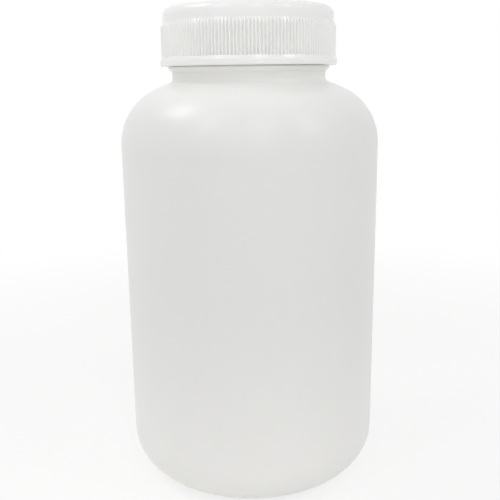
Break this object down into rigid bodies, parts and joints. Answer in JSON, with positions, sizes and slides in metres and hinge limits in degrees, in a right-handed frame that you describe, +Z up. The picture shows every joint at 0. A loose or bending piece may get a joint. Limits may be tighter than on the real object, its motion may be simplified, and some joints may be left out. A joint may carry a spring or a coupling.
{
  "type": "wide-mouth bottle",
  "caption": "Round wide-mouth plastic bottle of nominal one litre with a ribbed screw cap and a sealing disc under it.",
  "frame": {"origin": "centre of the base on the surface that the bottle stands on", "axes": "+Z up along the bottle's axis, out of its mouth; +X along the weld line under the base, towards the lower end of the neck's thread"},
  "size_m": [0.096, 0.096, 0.1773],
  "materials": {
    "bottle_wall": "natural translucent polyethylene, satin, blow moulded",
    "cap_plastic": "white polypropylene, satin, injection moulded",
    "liner_foam": "soft closed-cell polyethylene, matte"
  },
  "bodies": {
    "bottle": {"bottle": "bottle_wall"},
    "liner": {"cap_liner": "liner_foam"},
    "cap": {"cap": "cap_plastic"}
  },
  "joints": [
    {"name": "cap_lift", "type": "slide", "parent": "bottle", "child": "liner", "axis": [0, 0, 1], "range_m": [0, 0.0075]},
    {"name": "cap_turn", "type": "hinge", "parent": "liner", "child": "cap", "pos_m": [0, 0, 0.1742], "axis": [0, 0, 1], "range_deg": [0, 540]}
  ],
  "couplings": [
    {"joint": "cap_lift", "follows": "cap_turn", "m_per_rad": 0.00079577}
  ]
}
